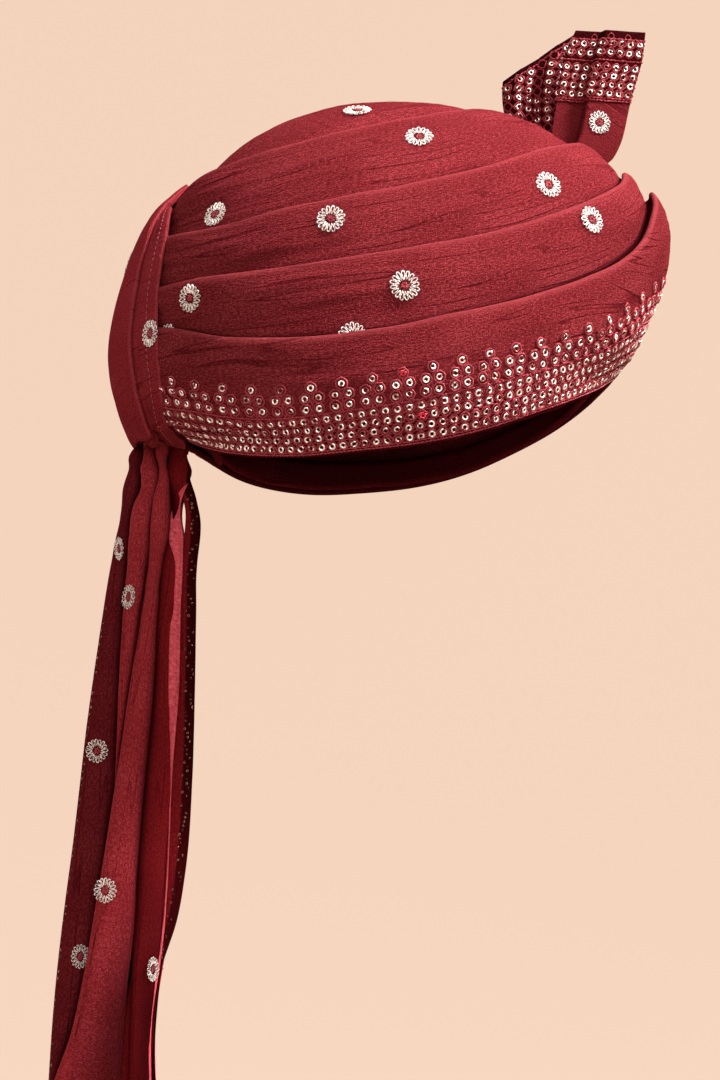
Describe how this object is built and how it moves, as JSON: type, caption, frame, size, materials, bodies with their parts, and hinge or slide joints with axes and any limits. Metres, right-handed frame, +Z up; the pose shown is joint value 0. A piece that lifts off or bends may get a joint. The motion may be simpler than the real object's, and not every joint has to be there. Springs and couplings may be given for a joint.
{
  "type": "tied turban pagri",
  "caption": "Tied cloth turban with stepped pleats round a dome, an embroidered border, a pleated fan on the crown, a cover strip at the back and a long pleated tail; open below for a head.",
  "frame": {"origin": "middle of the opening that a head goes into, level with the lowest point of the rim", "axes": "+Z up, -Y the way the wearer faces, -X the wearer's right"},
  "size_m": [0.1974, 0.2832, 0.5108],
  "materials": {
    "pleat_cloth": "matt crepe",
    "border_cloth": "matt crepe under embroidery",
    "tail_cloth": "thin matt crepe",
    "fan_cloth": "matt crepe under embroidery",
    "sequin_metal": "bright pale metal",
    "embroidery_thread": "satin thread"
  },
  "bodies": {
    "root": {"crown_cap": "pleat_cloth", "pleat_upper": "pleat_cloth", "pleat_middle": "pleat_cloth", "pleat_lower": "pleat_cloth", "border_wrap": "border_cloth", "under_hem": "border_cloth", "back_band": "pleat_cloth", "tail_back_fold": "tail_cloth", "tail_inner_fold": "tail_cloth", "tail_outer_pleat_right": "tail_cloth", "tail_outer_pleat_left": "tail_cloth", "tail_front_pleat_right": "tail_cloth", "tail_front_pleat_left": "tail_cloth", "tail_inner_pleat_right": "tail_cloth", "tail_inner_pleat_left": "tail_cloth", "fan_front_panel": "fan_cloth", "fan_back_panel": "fan_cloth"}
  },
  "joints": []
}
